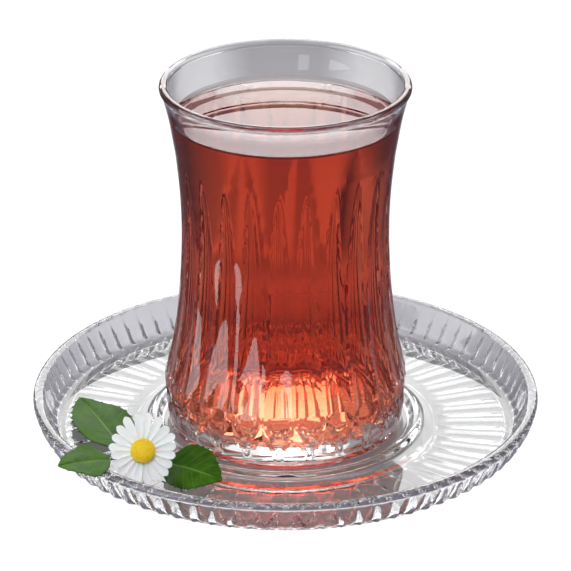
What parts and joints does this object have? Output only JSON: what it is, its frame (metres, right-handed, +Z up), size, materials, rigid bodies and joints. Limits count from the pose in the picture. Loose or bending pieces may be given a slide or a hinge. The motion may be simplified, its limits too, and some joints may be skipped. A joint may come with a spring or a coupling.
{
  "type": "turkish tea glass",
  "caption": "Waisted tea glass with cut flutes and a band of triangular facets, filled with red tea, on a clear ribbed saucer with a daisy and leaves.",
  "frame": {"origin": "centre of the saucer's foot, on the surface it stands on", "axes": "+Z up along the glass's axis; -Y towards the front, where the daisy lies to the left"},
  "size_m": [0.12, 0.12, 0.0887],
  "materials": {
    "saucer_glass": "clear pressed glass",
    "tea_glass": "clear pressed glass",
    "tea": "clear red-brown liquid",
    "daisy_white": "white petals",
    "daisy_yellow": "grainy yellow",
    "daisy_green": "matt green",
    "leaf_green": "satin green leaf"
  },
  "bodies": {
    "root": {"saucer": "saucer_glass", "glass": "tea_glass", "tea": "tea", "daisy_petals": "daisy_white", "daisy_disc": "daisy_yellow", "daisy_calyx": "daisy_green", "leaf_back": "leaf_green", "leaf_left": "leaf_green", "leaf_right": "leaf_green"}
  },
  "joints": []
}
